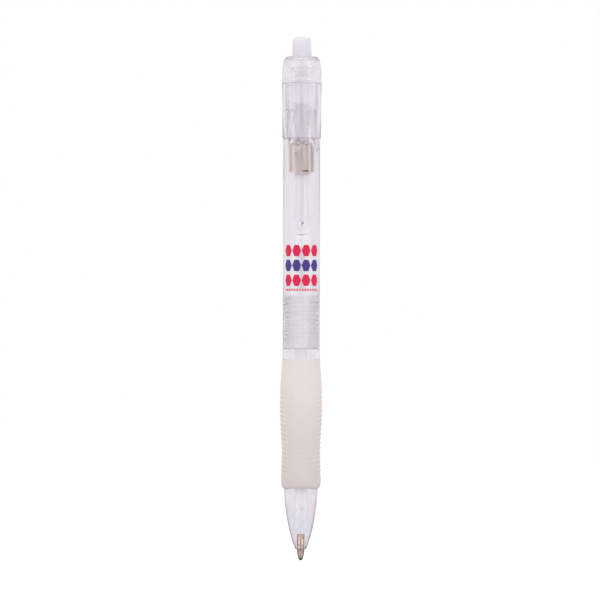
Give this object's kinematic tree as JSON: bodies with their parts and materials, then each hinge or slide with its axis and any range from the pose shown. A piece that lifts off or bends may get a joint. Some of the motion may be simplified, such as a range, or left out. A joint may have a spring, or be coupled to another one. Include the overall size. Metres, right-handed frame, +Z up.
{
  "type": "retractable pen",
  "caption": "Click pen with clear body, ribbed rubber grip, pocket clip, push button, turning cam rotor, return spring and refill whose point draws in.",
  "frame": {"origin": "on the pen's axis, halfway up the rubber grip, where the hand holds it", "axes": "+Z up along the pen's axis from the point to the push button; the clip is on the -Y side"},
  "size_m": [0.0116, 0.0144, 0.1412],
  "materials": {
    "clear_shell": "clear, moulded, polished",
    "clear_clip": "clear, moulded, polished",
    "frosted_white": "milky white, satin",
    "smoke_plastic": "smoke brown, satin",
    "white_rubber": "soft, matt",
    "spring_steel": "bright drawn wire",
    "refill_white": "opaque white, satin",
    "ink": "liquid",
    "grease": "soft grease",
    "point_metal": "turned nickel silver, bright",
    "ball_carbide": "ground and polished"
  },
  "bodies": {
    "barrel": {"upper_barrel": "clear_shell", "front_barrel": "clear_shell", "rubber_grip": "white_rubber", "cap_sleeve": "clear_shell", "end_cap": "clear_shell", "return_spring": "spring_steel"},
    "button": {"push_button": "frosted_white", "plunger": "frosted_white"},
    "refill": {"refill_tube": "refill_white", "ink_column": "ink", "ink_follower": "grease", "point_socket": "refill_white", "writing_point": "point_metal"},
    "rotor": {"cam_rotor": "smoke_plastic"},
    "ball": {"point_ball": "ball_carbide"},
    "clip": {"clip": "clear_clip"}
  },
  "joints": [
    {"name": "button_press", "type": "slide", "parent": "barrel", "child": "button", "axis": [0, 0, 1], "range_m": [-0.0012, 0.004]},
    {"name": "refill_slide", "type": "slide", "parent": "barrel", "child": "refill", "axis": [0, 0, 1], "range_m": [-0.0012, 0.004], "deforming": ["return_spring"]},
    {"name": "rotor_turn", "type": "hinge", "parent": "refill", "child": "rotor", "pos_m": [0, 0, 0.0733], "axis": [0, 0, 1], "range_deg": [-13.6, 45.1]},
    {"name": "ball_roll", "type": "hinge", "parent": "refill", "child": "ball", "pos_m": [0, 0, -0.03623], "axis": [1, 0, 0], "continuous": true},
    {"name": "clip_flex", "type": "hinge", "parent": "barrel", "child": "clip", "pos_m": [0, -0.005, 0.09427], "axis": [-1, 0, 0], "range_deg": [0, 3], "stiffness_Nm_per_rad": 1.2}
  ],
  "couplings": [
    {"joint": "refill_slide", "follows": "button_press", "ratio": 1},
    {"joint": "rotor_turn", "follows": "button_press", "rad_per_m": 196.35}
  ]
}
